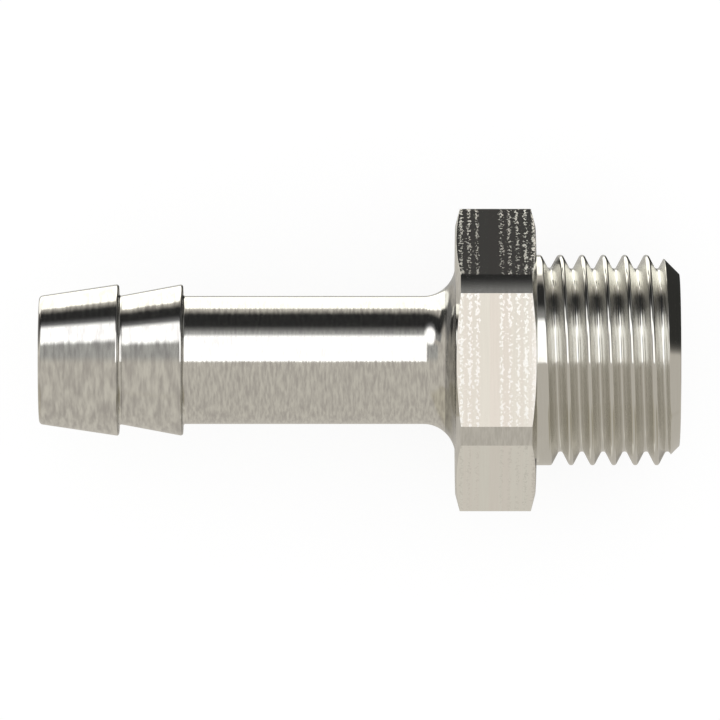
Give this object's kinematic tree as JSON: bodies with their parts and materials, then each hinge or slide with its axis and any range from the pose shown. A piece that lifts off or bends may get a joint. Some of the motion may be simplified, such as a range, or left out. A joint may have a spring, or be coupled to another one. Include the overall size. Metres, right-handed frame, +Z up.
{
  "type": "hose barb tail",
  "caption": "Straight one-piece hose tail: barbed stem, hexagon for a spanner and male parallel pipe thread on one axis, with a bore right through.",
  "frame": {"origin": "on the axis, in the sealing face: the face of the hexagon that the thread stands on", "axes": "+X along the axis towards the threaded end, +Z up, square to two flats of the hexagon, which the part lies on; +Y towards a corner of the hexagon"},
  "size_m": [0.04, 0.0188, 0.017],
  "materials": {
    "steel": "turned bright on the stem, barbs and thread, drawn bar surface on the flats of the hexagon"
  },
  "bodies": {
    "root": {"hose_tail": "steel"}
  },
  "joints": []
}
